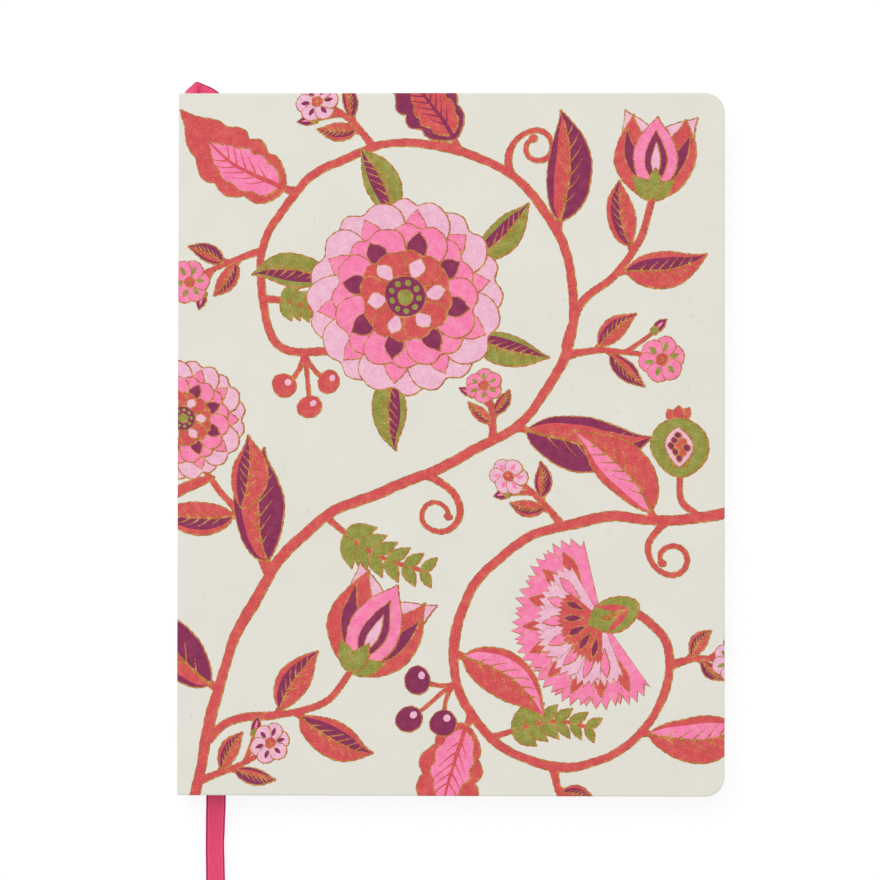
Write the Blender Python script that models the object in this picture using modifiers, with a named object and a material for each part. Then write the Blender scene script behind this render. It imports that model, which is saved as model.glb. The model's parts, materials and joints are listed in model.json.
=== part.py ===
"""Blank notebook: flexible covers in printed paper, a sewn block of leaves and a ribbon marker.

The closed notebook lies on its back cover. Units are metres, +Z is up, the head of the page is +Y,
the fore edge is +X and the spine is -X. The origin is the middle of the base.
"""

import math

import bmesh
import bpy
import numpy as np
from mathutils import Euler, Vector

# Driving dimensions of the covers
WIDTH = 0.1778
HEIGHT = 0.2286
CORNER_RADIUS = 0.0065
WRAP = 0.00025
BOARD = 0.0012
TURN_IN = 0.015
SPINE_BOARD = 0.0008

# Driving dimensions of the block of leaves
SQUARE = 0.0020
LEAF = 0.00012
LEAVES_PER_SECTION = 8
SECTION_COUNT = 10
TURNING_SECTIONS = 5
ENDPAPER = 0.00015
LINING = 0.0002
MULL = 0.0002
LINING_INSET = 0.0045
MULL_INSET = 0.0095
END_CLEARANCE = 0.0003

# Sewing thread and headbands
THREAD = 0.0004
THREAD_REACH = 0.085
THREAD_STATIONS = 6
HEADBAND_TAPE = 0.014
HEADBAND_REACH = 0.0006
HEADBAND_BEAD = 0.0008

# Ribbon marker
RIBBON_WIDTH = 0.00635
RIBBON = 0.0002
RIBBON_ROOM = 0.0005
RIBBON_STEPS = 4
TO_FORE = 0
TO_SPINE = -180
ON_EDGE = 90
FLAT = 0

# Gap between pieces that lie against each other, and the fineness of round corners
GAP = 0.0001
ARC_STEPS = 8
WELD = 0.000001

# Layers of a cover, from its outer face inwards
BOARD_DEPTH = WRAP + GAP
TURN_DEPTH = BOARD_DEPTH + BOARD + GAP
PASTEDOWN_DEPTH = TURN_DEPTH + WRAP + GAP
COVER = PASTEDOWN_DEPTH + ENDPAPER

# Layers of the block, from the back cover upwards
SECTION = LEAF * LEAVES_PER_SECTION
SECTION_PITCH = SECTION + GAP
BACK_FLYLEAF_Z = COVER + GAP
BLOCK_Z = BACK_FLYLEAF_Z + ENDPAPER + GAP
STILL_SECTIONS = SECTION_COUNT - TURNING_SECTIONS
RIBBON_GAP_Z = BLOCK_Z + STILL_SECTIONS * SECTION_PITCH - GAP
RIBBON_Z = RIBBON_GAP_Z + RIBBON_ROOM / 2
UPPER_BLOCK_Z = RIBBON_GAP_Z + RIBBON_ROOM
FRONT_FLYLEAF_Z = UPPER_BLOCK_Z + TURNING_SECTIONS * SECTION_PITCH
FRONT_COVER_Z = FRONT_FLYLEAF_Z + ENDPAPER + GAP
THICKNESS = FRONT_COVER_Z + COVER

# Layers of the spine, from its outer face inwards
SPINE_X = -WIDTH / 2
SPINE_BOARD_X = SPINE_X + WRAP + GAP
SPINE_TURN_X = SPINE_BOARD_X + SPINE_BOARD + GAP
LINING_X = SPINE_TURN_X + WRAP + GAP
MULL_X = LINING_X + LINING + GAP
RIBBON_X = MULL_X + MULL + GAP + RIBBON / 2
THREAD_X = RIBBON_X + RIBBON / 2 + GAP
LEAF_X = THREAD_X + THREAD + GAP
SPINE_BOTTOM = COVER + GAP
SPINE_TOP = THICKNESS - COVER - GAP

# Outlines of the leaves
FORE_X = WIDTH / 2
HALF_HEIGHT = HEIGHT / 2
LEAF_FORE_X = FORE_X - SQUARE
LEAF_HALF_HEIGHT = HALF_HEIGHT - SQUARE
LEAF_RADIUS = CORNER_RADIUS - SQUARE

# Hinge lines on the outside of the spine, level with the inner faces of the covers
HINGE_X = SPINE_X - GAP / 2
FRONT_HINGE = Vector((HINGE_X, 0, FRONT_COVER_Z - GAP / 2))
BACK_HINGE = Vector((HINGE_X, 0, COVER + GAP / 2))

# Colours with roughness
COVER_PAPER = (0.76, 0.74, 0.66), 0.75
GREY_BOARD = (0.32, 0.30, 0.27), 0.9
END_PAPER = (0.82, 0.79, 0.71), 0.85
LEAF_PAPER = (0.86, 0.83, 0.75), 0.85
COTTON = (0.80, 0.76, 0.66), 0.9
KRAFT = (0.47, 0.33, 0.20), 0.9
BAND_SILK = (0.70, 0.10, 0.22), 0.6
SATIN = (0.62, 0.045, 0.12), 0.35

# Route of the ribbon: x, y and z of its middle line, and the heading and tilt of its width in degrees.
# It is glued on edge behind the sewn folds, folds over at the head, lies flat in the block and droops with a
# slight twist from the tail to the surface that the notebook lies on.
RIBBON_ROUTE = (
    (RIBBON_X, 0.0880, RIBBON_Z, TO_FORE, ON_EDGE),
    (RIBBON_X, 0.1000, 0.0081, TO_FORE, ON_EDGE),
    (RIBBON_X, 0.1060, 0.0087, TO_FORE, ON_EDGE),
    (-0.08665, 0.1100, 0.0094, TO_FORE, ON_EDGE),
    (-0.0867, 0.1124, 0.0099, TO_FORE, ON_EDGE),
    (-0.0868, 0.1136, 0.0101, -20, 88),
    (-0.08685, 0.11432, 0.0102, -35, 84),
    (-0.08715, 0.1147, 0.0102, -45, 78),
    (-0.08625, 0.11515, 0.0101, -54, 68),
    (-0.08515, 0.1155, 0.0099, -62, 58),
    (-0.08425, 0.11575, 0.00955, -71, 46),
    (-0.08355, 0.1160, 0.00905, -82, 31),
    (-0.0833, 0.1156, 0.0081, -101, 20),
    (-0.08285, 0.11525, 0.00725, -112, 15),
    (-0.08195, 0.11485, 0.0072, -116, 14),
    (-0.08095, 0.11445, 0.00736, -120, 12),
    (-0.07915, 0.11332, 0.00775, -131, 5),
    (-0.07775, 0.1116, RIBBON_Z, -150, FLAT),
    (-0.0772, 0.1080, RIBBON_Z, -175, FLAT),
    (-0.0771, 0.1000, RIBBON_Z, TO_SPINE, FLAT),
    (-0.0770, 0.0300, RIBBON_Z, TO_SPINE, FLAT),
    (-0.0769, -0.0400, RIBBON_Z, TO_SPINE, FLAT),
    (-0.0768, -0.1000, RIBBON_Z, TO_SPINE, FLAT),
    (-0.07675, -0.1123, RIBBON_Z, TO_SPINE, FLAT),
    (-0.07675, -0.1150, 0.00775, TO_SPINE, FLAT),
    (-0.07685, -0.1185, 0.0068, TO_SPINE, -4),
    (-0.0771, -0.1225, 0.0050, TO_SPINE, -8),
    (-0.0773, -0.1265, 0.0032, TO_SPINE, -12),
    (-0.0775, -0.1310, 0.0019, TO_SPINE, -16),
    (-0.07745, -0.1360, 0.0012, TO_SPINE, -14),
    (-0.07735, -0.1420, 0.0009, TO_SPINE, -12),
    (-0.0773, -0.1500, 0.0005, TO_SPINE, -4),
    (-0.0773, -0.1580, 0.0003, TO_SPINE, FLAT),
    (-0.0773, -0.1660, 0.0003, TO_SPINE, FLAT),
)


def start_scene():
    """Empties the scene and returns the collections for the parts and for the cutters."""
    for old in list(bpy.data.objects):
        bpy.data.objects.remove(old, do_unlink=True)
    collections = []
    for name in ("blank_notebook", "cutters"):
        collection = bpy.data.collections.new(name)
        bpy.context.scene.collection.children.link(collection)
        collections.append(collection)
    return collections


def finish(piece, look):
    """Gives the piece a material of its own."""
    colour, roughness = look
    material = bpy.data.materials.new(piece.name)
    material.use_nodes = True
    shader = material.node_tree.nodes["Principled BSDF"]
    shader.inputs["Base Color"].default_value = (*colour, 1)
    shader.inputs["Roughness"].default_value = roughness
    shader.inputs["Metallic"].default_value = 0
    piece.data.materials.append(material)


def arc(centre_x, centre_y, radius, start):
    """Points of a quarter circle, anticlockwise from the start angle in degrees."""
    angles = [math.radians(start + 90 * step / ARC_STEPS) for step in range(ARC_STEPS + 1)]
    return [(centre_x + radius * math.cos(a), centre_y + radius * math.sin(a)) for a in angles]


def leaf_outline(spine_x, fore_x, half_height, radius):
    """Outline that is square at the spine and rounded at the fore edge."""
    points = [(spine_x, -half_height)]
    points += arc(fore_x - radius, radius - half_height, radius, -90)
    points += arc(fore_x - radius, half_height - radius, radius, 0)
    points.append((spine_x, half_height))
    return points


def flat_piece(name, outline, bottom, top, collection):
    """A flat outline in XY, extruded from bottom to top."""
    curve = bpy.data.curves.new(name, "CURVE")
    curve.dimensions = "2D"
    curve.fill_mode = "BOTH"
    curve.extrude = (top - bottom) / 2
    spline = curve.splines.new("POLY")
    spline.points.add(len(outline) - 1)
    for point, (x, y) in zip(spline.points, outline):
        point.co = (x, y, 0, 1)
    spline.use_cyclic_u = True
    piece = bpy.data.objects.new(name, curve)
    piece.location.z = (top + bottom) / 2
    collection.objects.link(piece)
    return piece


def as_mesh(curve_piece, collection):
    """Replaces a curve object by a mesh object with welded caps, which can be cut."""
    name = curve_piece.name
    bpy.context.view_layer.update()
    graph = bpy.context.evaluated_depsgraph_get()
    mesh = bpy.data.meshes.new_from_object(curve_piece.evaluated_get(graph))
    welded = bmesh.new()
    welded.from_mesh(mesh)
    bmesh.ops.remove_doubles(welded, verts=welded.verts, dist=WELD)
    bmesh.ops.recalc_face_normals(welded, faces=welded.faces)
    welded.to_mesh(mesh)
    welded.free()
    place = curve_piece.matrix_world.copy()
    bpy.data.objects.remove(curve_piece, do_unlink=True)
    piece = bpy.data.objects.new(name, mesh)
    piece.matrix_world = place
    collection.objects.link(piece)
    return piece


def cut(piece, cutter):
    """Subtracts the cutter from the piece."""
    cutter.hide_render = True
    cutter.display_type = "WIRE"
    boolean = piece.modifiers.new(cutter.name, "BOOLEAN")
    boolean.operation = "DIFFERENCE"
    boolean.object = cutter


def hang_on(pivot, pieces):
    """Parents the pieces to the empty on their hinge line, and leaves them in place."""
    for piece in pieces:
        piece.parent = pivot
        piece.location -= pivot.location


def hinge_empty(name, place, collection):
    """An empty on a hinge line."""
    pivot = bpy.data.objects.new(name, None)
    pivot.location = place
    collection.objects.link(pivot)
    return pivot


def facing(outer_z, inwards, depth, thickness):
    """Bottom and top of a cover's layer, at a depth from the outer face."""
    near = outer_z + inwards * depth
    far = near + inwards * thickness
    return min(near, far), max(near, far)


def make_wrap(name, outer_z, inwards, parts, cutters):
    """Cover paper: a sheet with walls round the board and turned-in strips on three sides."""
    outline = leaf_outline(SPINE_X, FORE_X, HALF_HEIGHT, CORNER_RADIUS)
    wrap = flat_piece(name, outline, *facing(outer_z, inwards, 0, TURN_DEPTH + WRAP), parts)
    wrap = as_mesh(wrap, parts)
    inset = leaf_outline(SPINE_X + WRAP, FORE_X - WRAP, HALF_HEIGHT - WRAP, CORNER_RADIUS - WRAP)
    pocket_room = facing(outer_z, inwards, WRAP, TURN_DEPTH - WRAP)
    pocket = as_mesh(flat_piece(name + "_pocket", inset, *pocket_room, cutters), cutters)
    window_x = SPINE_X + WRAP, FORE_X - TURN_IN
    window_y = HALF_HEIGHT - TURN_IN
    window_outline = leaf_outline(*window_x, window_y, CORNER_RADIUS)
    window_room = facing(outer_z, inwards, BOARD_DEPTH, COVER)
    window = as_mesh(flat_piece(name + "_window", window_outline, *window_room, cutters), cutters)
    cut(wrap, pocket)
    cut(wrap, window)
    finish(wrap, COVER_PAPER)
    return wrap


def make_cover(side, outer_z, inwards, pivot, parts, cutters):
    """One cover: its paper, its board and the pastedown inside it."""
    wrap = make_wrap(f"{side}_wrap", outer_z, inwards, parts, cutters)
    inset = WRAP + GAP
    outline = leaf_outline(SPINE_X + inset, FORE_X - inset, HALF_HEIGHT - inset, CORNER_RADIUS - inset)
    room = facing(outer_z, inwards, BOARD_DEPTH, BOARD)
    board = flat_piece(f"{side}_board", outline, *room, parts)
    finish(board, GREY_BOARD)
    outline = leaf_outline(SPINE_X + inset, LEAF_FORE_X, LEAF_HALF_HEIGHT, LEAF_RADIUS)
    room = facing(outer_z, inwards, PASTEDOWN_DEPTH, ENDPAPER)
    pastedown = flat_piece(f"{side}_pastedown", outline, *room, parts)
    finish(pastedown, END_PAPER)
    hang_on(pivot, (wrap, board, pastedown))


def make_leaves(name, bottom, thickness, look, parts):
    """A flyleaf or a section of leaves."""
    outline = leaf_outline(LEAF_X, LEAF_FORE_X, LEAF_HALF_HEIGHT, LEAF_RADIUS)
    piece = flat_piece(name, outline, bottom, bottom + thickness, parts)
    finish(piece, look)
    return piece


def make_block(front_pivot, back_pivot, parts):
    """The sections, numbered from the front, and the two flyleaves."""
    front_flyleaf = make_leaves("front_flyleaf", FRONT_FLYLEAF_Z, ENDPAPER, END_PAPER, parts)
    hang_on(front_pivot, [front_flyleaf])
    back_flyleaf = make_leaves("back_flyleaf", BACK_FLYLEAF_Z, ENDPAPER, END_PAPER, parts)
    hang_on(back_pivot, [back_flyleaf])
    for number in range(1, SECTION_COUNT + 1):
        above = SECTION_COUNT - number
        turning = number <= TURNING_SECTIONS
        base = UPPER_BLOCK_Z - STILL_SECTIONS * SECTION_PITCH if turning else BLOCK_Z
        bottom = base + above * SECTION_PITCH
        section = make_leaves(f"section_{number:02d}", bottom, SECTION, LEAF_PAPER, parts)
        if turning:
            hang_on(front_pivot, [section])


def make_spine_wrap(parts):
    """Cover paper on the spine, turned in over the ends of the spine board."""
    inner_x = SPINE_X + WRAP
    turn_inner_x = SPINE_TURN_X + WRAP
    wall_y = HALF_HEIGHT - WRAP
    turn_y = HALF_HEIGHT - TURN_IN
    half = [(turn_inner_x, turn_y), (SPINE_TURN_X, turn_y), (SPINE_TURN_X, wall_y), (inner_x, wall_y)]
    head = [(SPINE_X, HALF_HEIGHT), (turn_inner_x, HALF_HEIGHT)]
    upper = head + half
    lower = [(x, -y) for x, y in reversed(upper)]
    wrap = flat_piece("spine_wrap", upper + lower, SPINE_BOTTOM, SPINE_TOP, parts)
    finish(wrap, COVER_PAPER)


def strip_on_spine(name, x, thickness, half_height, look, parts):
    """A flat strip along the spine."""
    inner_x = x + thickness
    outline = [(x, -half_height), (inner_x, -half_height), (inner_x, half_height), (x, half_height)]
    room = SPINE_BOTTOM + END_CLEARANCE, SPINE_TOP - END_CLEARANCE
    strip = flat_piece(name, outline, *room, parts)
    finish(strip, look)


def make_thread(parts):
    """The sewing thread: up and down across the folds at each station, and along between stations."""
    middle_x = THREAD_X + THREAD / 2
    low = BLOCK_Z + SECTION / 2
    high = FRONT_FLYLEAF_Z - GAP - SECTION / 2
    points = []
    for station in range(THREAD_STATIONS):
        y = THREAD_REACH * (2 * station / (THREAD_STATIONS - 1) - 1)
        ends = (low, high) if station % 2 == 0 else (high, low)
        points += [(middle_x, y, z) for z in ends]
    curve = bpy.data.curves.new("sewing_thread", "CURVE")
    curve.dimensions = "3D"
    curve.bevel_depth = THREAD / 2
    curve.bevel_resolution = 2
    curve.use_fill_caps = True
    spline = curve.splines.new("POLY")
    spline.points.add(len(points) - 1)
    for point, place in zip(spline.points, points):
        point.co = (*place, 1)
    thread = bpy.data.objects.new("sewing_thread", curve)
    parts.objects.link(thread)
    finish(thread, COTTON)


def make_headband(name, end, parts):
    """A band at one end of the spine: a tape on the folds, with a bead over the ends of the leaves."""
    outer_x = THREAD_X
    inner_x = THREAD_X + THREAD
    bead_x = inner_x + HEADBAND_REACH
    tape_y = LEAF_HALF_HEIGHT - HEADBAND_TAPE
    bead_y = LEAF_HALF_HEIGHT + GAP
    top_y = bead_y + HEADBAND_BEAD
    radius = HEADBAND_BEAD / 2
    outline = [(outer_x, tape_y), (inner_x, tape_y), (inner_x, bead_y)]
    outline += arc(bead_x - radius, bead_y + radius, radius, -90)
    outline += arc(bead_x - radius, top_y - radius, radius, 0)
    outline.append((outer_x, top_y))
    if end < 0:
        outline = [(x, -y) for x, y in reversed(outline)]
    room = SPINE_BOTTOM + END_CLEARANCE, SPINE_TOP - END_CLEARANCE
    band = flat_piece(name, outline, *room, parts)
    finish(band, BAND_SILK)


def smooth_route(points, steps):
    """Points on a smooth curve through the route, spaced by the route's own distances."""
    rows = np.array(points)
    rows = np.vstack([2 * rows[0] - rows[1], rows, 2 * rows[-1] - rows[-2]])
    share = (np.arange(steps) / steps)[:, None]
    made = []
    for before, start, end, after in zip(rows, rows[1:], rows[2:], rows[3:]):
        lead, reach, trail = (np.linalg.norm(gap[:3]) for gap in (start - before, end - start, after - end))
        leave = (end - before) * reach / (reach + lead)
        arrive = (after - start) * reach / (reach + trail)
        bend = 3 * (end - start) - 2 * leave - arrive
        sway = 2 * (start - end) + leave + arrive
        made.append(start + share * (leave + share * (bend + share * sway)))
    return np.vstack([*made, rows[-2:-1]])


def make_ribbon(parts):
    """The ribbon: a strip of faces along its route, with Solidify for its thickness."""
    strip = bmesh.new()
    rails = []
    for x, y, z, heading, tilt in smooth_route(RIBBON_ROUTE, RIBBON_STEPS):
        half = Vector((RIBBON_WIDTH / 2, 0, 0))
        half.rotate(Euler((0, -math.radians(tilt), math.radians(heading))))
        rails.append([strip.verts.new(Vector((x, y, z)) + side * half) for side in (-1, 1)])
    for (low, high), (next_low, next_high) in zip(rails, rails[1:]):
        strip.faces.new((low, next_low, next_high, high))
    mesh = bpy.data.meshes.new("ribbon_marker")
    strip.to_mesh(mesh)
    strip.free()
    ribbon = bpy.data.objects.new("ribbon_marker", mesh)
    parts.objects.link(ribbon)
    solidify = ribbon.modifiers.new("thickness", "SOLIDIFY")
    solidify.thickness = RIBBON
    solidify.offset = 0
    finish(ribbon, SATIN)


def main():
    parts, cutters = start_scene()
    front_pivot = hinge_empty("front_hinge", FRONT_HINGE, parts)
    back_pivot = hinge_empty("back_hinge", BACK_HINGE, parts)
    make_cover("front", THICKNESS, -1, front_pivot, parts, cutters)
    make_cover("back", 0, 1, back_pivot, parts, cutters)
    make_block(front_pivot, back_pivot, parts)
    make_spine_wrap(parts)
    board_half_height = HALF_HEIGHT - WRAP - GAP
    strip_on_spine("spine_board", SPINE_BOARD_X, SPINE_BOARD, board_half_height, GREY_BOARD, parts)
    strip_on_spine("spine_lining", LINING_X, LINING, HALF_HEIGHT - LINING_INSET, KRAFT, parts)
    strip_on_spine("spine_mull", MULL_X, MULL, HALF_HEIGHT - MULL_INSET, COTTON, parts)
    make_thread(parts)
    make_headband("headband_head", 1, parts)
    make_headband("headband_tail", -1, parts)
    make_ribbon(parts)


main()
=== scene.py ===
"""Looks of a blank notebook: printed cover paper, folded leaves, woven headbands and a satin ribbon marker.

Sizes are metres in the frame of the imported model. The print is laid out in millimetres on the flat cover
paper: across from the spine edge of the front, and up from the middle of the page.
"""

import json
import math
import random

import bpy
import numpy as np
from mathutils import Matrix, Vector
from mathutils.geometry import delaunay_2d_cdt


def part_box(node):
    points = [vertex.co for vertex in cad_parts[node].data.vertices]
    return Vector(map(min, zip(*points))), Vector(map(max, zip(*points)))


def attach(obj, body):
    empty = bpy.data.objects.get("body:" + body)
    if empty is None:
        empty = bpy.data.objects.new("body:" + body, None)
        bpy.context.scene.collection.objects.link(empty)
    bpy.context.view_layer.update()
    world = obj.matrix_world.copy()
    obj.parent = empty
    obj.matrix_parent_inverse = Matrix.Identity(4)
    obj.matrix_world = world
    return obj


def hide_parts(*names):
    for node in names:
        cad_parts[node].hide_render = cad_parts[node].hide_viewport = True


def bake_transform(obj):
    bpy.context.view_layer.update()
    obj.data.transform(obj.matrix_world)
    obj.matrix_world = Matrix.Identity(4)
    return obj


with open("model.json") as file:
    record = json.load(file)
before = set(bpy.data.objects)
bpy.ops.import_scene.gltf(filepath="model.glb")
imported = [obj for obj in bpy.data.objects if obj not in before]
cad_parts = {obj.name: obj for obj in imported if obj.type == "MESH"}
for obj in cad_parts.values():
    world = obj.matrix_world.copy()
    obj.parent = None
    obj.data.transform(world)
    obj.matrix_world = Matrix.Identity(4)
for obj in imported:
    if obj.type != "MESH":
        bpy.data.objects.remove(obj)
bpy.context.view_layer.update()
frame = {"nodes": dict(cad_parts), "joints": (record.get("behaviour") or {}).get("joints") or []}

MM = 0.001
TINY = 1e-9
SEED = 7

# Colours and the specular level that the materials share
WHITE = (1, 1, 1, 1)
BLACK = (0, 0, 0, 1)
GLOSS = 0.25

# Sizes from the frame
WRAP_LOW, WRAP_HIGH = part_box("front_wrap")
SPINE_X = WRAP_LOW.x
WIDTH = WRAP_HIGH.x - WRAP_LOW.x
HALF_HEIGHT = WRAP_HIGH.y
TOP = WRAP_HIGH.z
COVER_DEPTH = WRAP_HIGH.z - WRAP_LOW.z
SPINE_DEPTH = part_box("spine_wrap")[1].x - SPINE_X
HINGES = {joint["name"]: joint["pos_m"] for joint in frame["joints"]}
FRONT_HINGE_Z = HINGES["front_cover_hinge"][2]
BACK_HINGE_Z = HINGES["back_cover_hinge"][2]
SPINE_HEIGHT = FRONT_HINGE_Z - BACK_HINGE_Z
LEAF_LOW, LEAF_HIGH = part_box("section_01")
LEAF_X = LEAF_LOW.x
LEAF_FORE_X = LEAF_HIGH.x
LEAF_HALF_HEIGHT = LEAF_HIGH.y
RIBBON_Z = (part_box("section_05")[0].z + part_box("section_06")[1].z) / 2

# The photograph's side and the cover's edges in it, in pixels
PHOTO_SIDE = 880
COVER_LEFT = 177.3
COVER_RIGHT = 724.4
COVER_TOP = 92.2
COVER_BOTTOM = 795.7

# Camera: its lean in degrees, its lens and sensor in millimetres, and how far it sees
CAMERA_LEAN = (1.21, 1.59, 0.09)
LENS = 200
SENSOR = 36
CLIP_END = 50

# Cover paper: the rounding of its folds, how far it lies inside the cover's box, and the relief of the ink
CORNER_RADIUS = 0.0065
FOLD_RADIUS = 0.0005
FOLD_STEPS = 5
SKIN = 0.00005
PAPER = 0.0002
INK = 0.00004
TURN_IN = 0.005
ARC = FOLD_RADIUS * math.pi / 2
FOLD_RUNS = np.arange(FOLD_STEPS + 1) / FOLD_STEPS * ARC

# Flat part of a cover, from the spine edge and from the middle of the page
FLAT_START = FOLD_RADIUS
FLAT_END = WIDTH - SKIN - FOLD_RADIUS
FLAT_HALF = HALF_HEIGHT - SKIN - FOLD_RADIUS
FLAT_RADIUS = CORNER_RADIUS - SKIN - FOLD_RADIUS
HINGE_WALL = TOP - SKIN - FRONT_HINGE_Z - FOLD_RADIUS
HINGE_S = FLAT_START - ARC - HINGE_WALL

# Print, in millimetres: one repeat, the gold lines, their shift off the other inks, unevenness and mitre
REPEAT = 194.0
RIM = 0.46
FINE_RIM = 0.37
REGISTER = 0.1 - 0.06j
UNEVEN = 0.25
UNEVEN_TURN = 2.1
MITRE = 0.5

# Drawing: the spacing of points, the flare or point of a branch's foot by its width, and a stalk by its leaf
STEP = 0.8
STEM_STEPS = 26
FLARE = 0.4
POINTED = -0.5
STALK = 0.1

# Sway of the drawing hand: the size of each wave, its radians per millimetre across and up, and its start
DRAWN = (
    (0.35, 0.21, 0.13, 0.4),
    (0.3, -0.16, 0.19, 1.9),
    (0.06, 0.55, 0.41, 0.9),
    (0.05, -0.47, 0.66, 2.6),
)

# Layers of the print from the lowest up, as outlines and inks
LINES, BRANCHES, FLOWERS = range(3)
PRINT = ([], [], [])

# Leaves: pitch and thickness, round corners, the stretch at the gutter that is split into columns, and how
# the cut varies
LEAVES_PER_SECTION = 8
LEAF_PITCH = (LEAF_HIGH.z - LEAF_LOW.z) / LEAVES_PER_SECTION
LEAF = 0.86 * LEAF_PITCH
LEAF_RADIUS = 0.0045
LEAF_BEND = 0.0065
TRIM = 0.00004
BEND_COLUMNS = 10
CORNER_COLUMNS = 7
FOLD_COLUMNS = 5
SHARP = math.radians(40)
SECTIONS = 10
TURNING_SECTIONS = range(1, 6)
STILL_BODY = "text_block"

# Stage: the floor's side, drop, grey and the glow that whitens it, then the lights
FLOOR = 4.4
FLOOR_DROP = 0.0001
FLOOR_GREY = 0.92
FLOOR_GLOW = 1.06
GLOW_SHARE = 0.8
SKY = 0.58
BACKDROP = 1.0
LAMP_SIZE = 2.4
LAMP_POWER = 57
LAMP_PLACE = (-0.7, 1.3, 3.0)

# Headbands: the bead, the thread round it, the share that its grooves go in, and the tape
BEAD = 0.0008
BEAD_SIDES = 14
BEAD_WRAPS = 27
WRAP_STEPS = 4
WRAPS_PER_STRIPE = 3
GROOVE = 0.14
TAPE = 0.0004

# Ribbon marker: its route repeats the one it was built along, with its width's heading and tilt in degrees
RIBBON_X = -0.0866
RIBBON_WIDTH = 0.00635
RIBBON = 0.0002
TO_FORE = 0
TO_SPINE = -180
ON_EDGE = 90
FLAT = 0
RIBBON_ROUTE = (
    (RIBBON_X, 0.0880, RIBBON_Z, TO_FORE, ON_EDGE),
    (RIBBON_X, 0.1000, 0.0081, TO_FORE, ON_EDGE),
    (RIBBON_X, 0.1060, 0.0087, TO_FORE, ON_EDGE),
    (-0.08665, 0.1100, 0.0094, TO_FORE, ON_EDGE),
    (-0.0867, 0.1124, 0.0099, TO_FORE, ON_EDGE),
    (-0.0868, 0.1136, 0.0101, -20, 88),
    (-0.08685, 0.11432, 0.0102, -35, 84),
    (-0.08715, 0.1147, 0.0102, -45, 78),
    (-0.08625, 0.11515, 0.0101, -54, 68),
    (-0.08515, 0.1155, 0.0099, -62, 58),
    (-0.08425, 0.11575, 0.00955, -71, 46),
    (-0.08355, 0.1160, 0.00905, -82, 31),
    (-0.0833, 0.1156, 0.0081, -101, 20),
    (-0.08285, 0.11525, 0.00725, -112, 15),
    (-0.08195, 0.11485, 0.0072, -116, 14),
    (-0.08095, 0.11445, 0.00736, -120, 12),
    (-0.07915, 0.11332, 0.00775, -131, 5),
    (-0.07775, 0.1116, RIBBON_Z, -150, FLAT),
    (-0.0772, 0.1080, RIBBON_Z, -175, FLAT),
    (-0.0771, 0.1000, RIBBON_Z, TO_SPINE, FLAT),
    (-0.0770, 0.0300, RIBBON_Z, TO_SPINE, FLAT),
    (-0.0769, -0.0400, RIBBON_Z, TO_SPINE, FLAT),
    (-0.0768, -0.1000, RIBBON_Z, TO_SPINE, FLAT),
    (-0.07675, -0.1123, RIBBON_Z, TO_SPINE, FLAT),
    (-0.07675, -0.1150, 0.00775, TO_SPINE, FLAT),
    (-0.07685, -0.1185, 0.0068, TO_SPINE, -4),
    (-0.0771, -0.1225, 0.0050, TO_SPINE, -8),
    (-0.0773, -0.1265, 0.0032, TO_SPINE, -12),
    (-0.0775, -0.1310, 0.0019, TO_SPINE, -16),
    (-0.07745, -0.1360, 0.0012, TO_SPINE, -14),
    (-0.07735, -0.1420, 0.0009, TO_SPINE, -12),
    (-0.0773, -0.1500, 0.0005, TO_SPINE, -4),
    (-0.0773, -0.1580, 0.0003, TO_SPINE, FLAT),
    (-0.0773, -0.1660, 0.0003, TO_SPINE, FLAT),
)
RIBBON_STEPS = 24
RIBBON_COLUMNS = 10
RIBBON_EDGE = 0.55
PICOT_PITCH = 0.00055
PICOT = 0.00008
STITCH_PITCH = 0.00088
RIB_PITCH = 0.00045


# Materials

def srgb(red, green, blue):
    """Linear colour of a display colour from 0 to 255."""
    shares = [channel / 255 for channel in (red, green, blue)]
    linear = [c / 12.92 if c <= 0.04045 else ((c + 0.055) / 1.055) ** 2.4 for c in shares]
    return (*linear, 1)


def node(tree, kind, inputs, **settings):
    """A shader node with its settings, and with each input linked or set."""
    made = tree.nodes.new("ShaderNode" + kind)
    for name, value in settings.items():
        setattr(made, name, value)
    for name, value in inputs.items():
        if isinstance(value, bpy.types.NodeSocket):
            tree.links.new(value, made.inputs[name])
        else:
            made.inputs[name].default_value = value
    return made


def noise(tree, coordinates, scale, detail):
    inputs = {"Vector": coordinates, "Scale": scale, "Detail": detail}
    return node(tree, "TexNoise", inputs).outputs[0]


def waves(tree, coordinates, pitch, way, distortion=0.0):
    """Bands that lie that pitch apart. A wave texture turns by 20 radians to each unit of its scale."""
    inputs = {"Vector": coordinates, "Scale": 2 * math.pi / (20 * pitch), "Distortion": distortion}
    return node(tree, "TexWave", inputs, bands_direction=way).outputs[1]


def mix(tree, share, first, second, blend="MIX"):
    """Two colours, with a share of the second."""
    inputs = {0: share, 6: first, 7: second}
    return node(tree, "Mix", inputs, data_type="RGBA", blend_type=blend).outputs[2]


def combine(tree, operation, first, second):
    return node(tree, "Math", {0: first, 1: second}, operation=operation).outputs[0]


def ramp(tree, factor, *stops):
    """Colours at positions along the factor."""
    made = node(tree, "ValToRGB", {"Fac": factor})
    elements = made.color_ramp.elements
    while len(elements) < len(stops):
        elements.new(0.5)
    for element, (position, colour) in zip(elements, stops):
        element.position = position
        element.color = colour
    return made.outputs[0]


def start_material(name, roughness):
    material = bpy.data.materials.new(name)
    material.use_nodes = True
    tree = material.node_tree
    shader = tree.nodes["Principled BSDF"]
    shader.inputs["Roughness"].default_value = roughness
    shader.inputs["Specular IOR Level"].default_value = GLOSS
    coordinates = node(tree, "TexCoord", {}).outputs["Object"]
    return material, tree, shader, coordinates


def add_bump(tree, shader, height, distance):
    bump = node(tree, "Bump", {"Height": height, "Distance": distance, "Strength": 1.0})
    tree.links.new(bump.outputs[0], shader.inputs["Normal"])


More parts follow.
